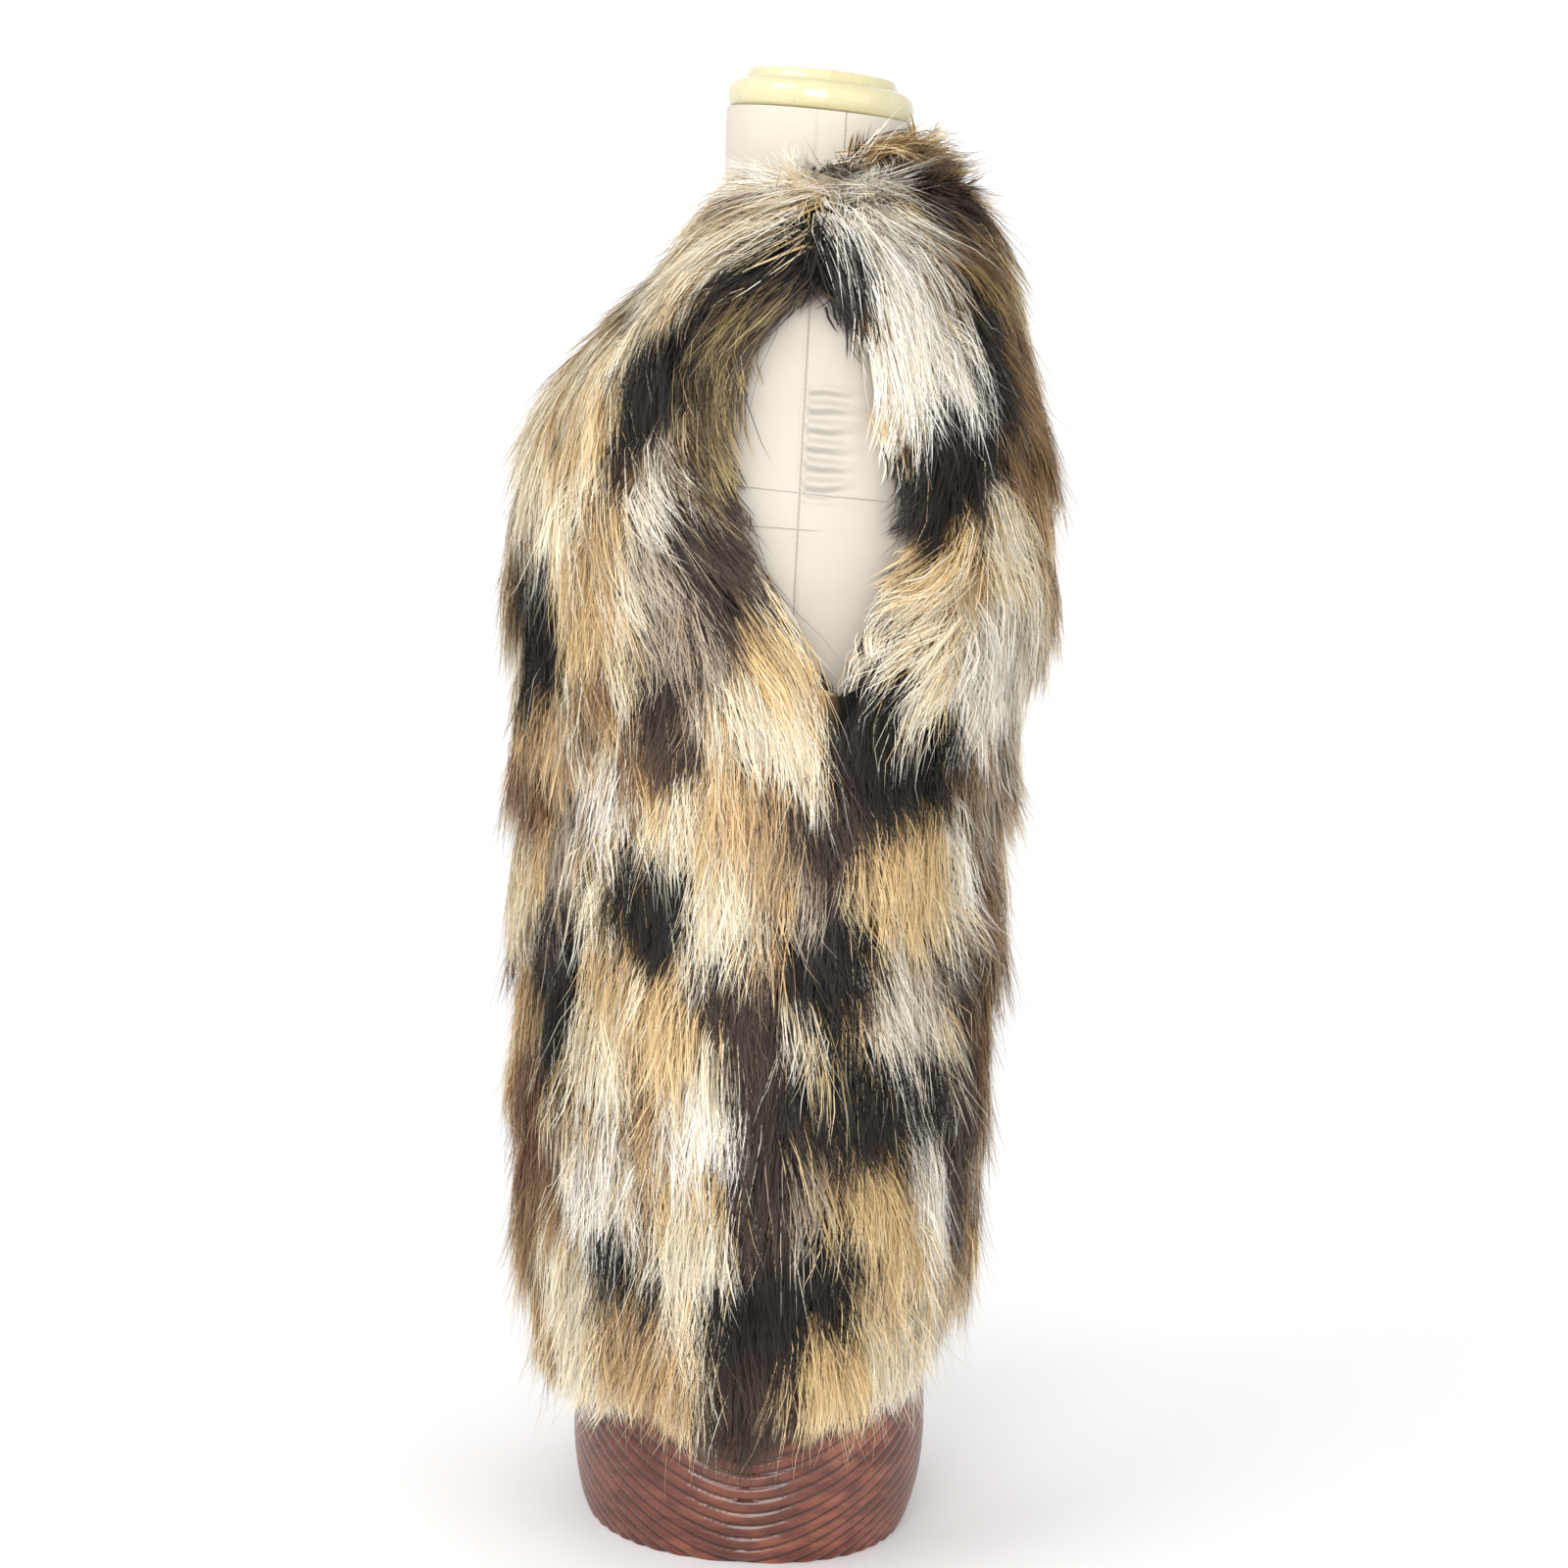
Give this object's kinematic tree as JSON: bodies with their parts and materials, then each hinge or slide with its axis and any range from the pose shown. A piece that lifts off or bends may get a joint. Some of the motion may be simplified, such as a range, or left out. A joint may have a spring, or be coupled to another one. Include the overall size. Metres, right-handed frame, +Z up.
{
  "type": "faux fur vest on a dress form with a pedestal",
  "caption": "Long sleeveless faux fur vest with a pieced patchwork pile, worn by a limbless dress form on a reeded pedestal.",
  "frame": {"origin": "centre of the pedestal's flat foot, on the floor", "axes": "+Z up; the wearer faces -Y; the wearer's left is +X"},
  "size_m": [0.4012, 0.3304, 0.8568],
  "materials": {
    "faux_fur": "long soft pile in cream, gold, tan, brown and black patches",
    "muslin": "matte woven cotton",
    "cream_lacquer": "gloss",
    "brown_lacquer": "gloss lacquer over reeds"
  },
  "bodies": {
    "root": {"front_left": "faux_fur", "front_right": "faux_fur", "back": "faux_fur", "dress_form": "muslin", "neck_cap": "cream_lacquer", "pedestal": "brown_lacquer"}
  },
  "joints": []
}
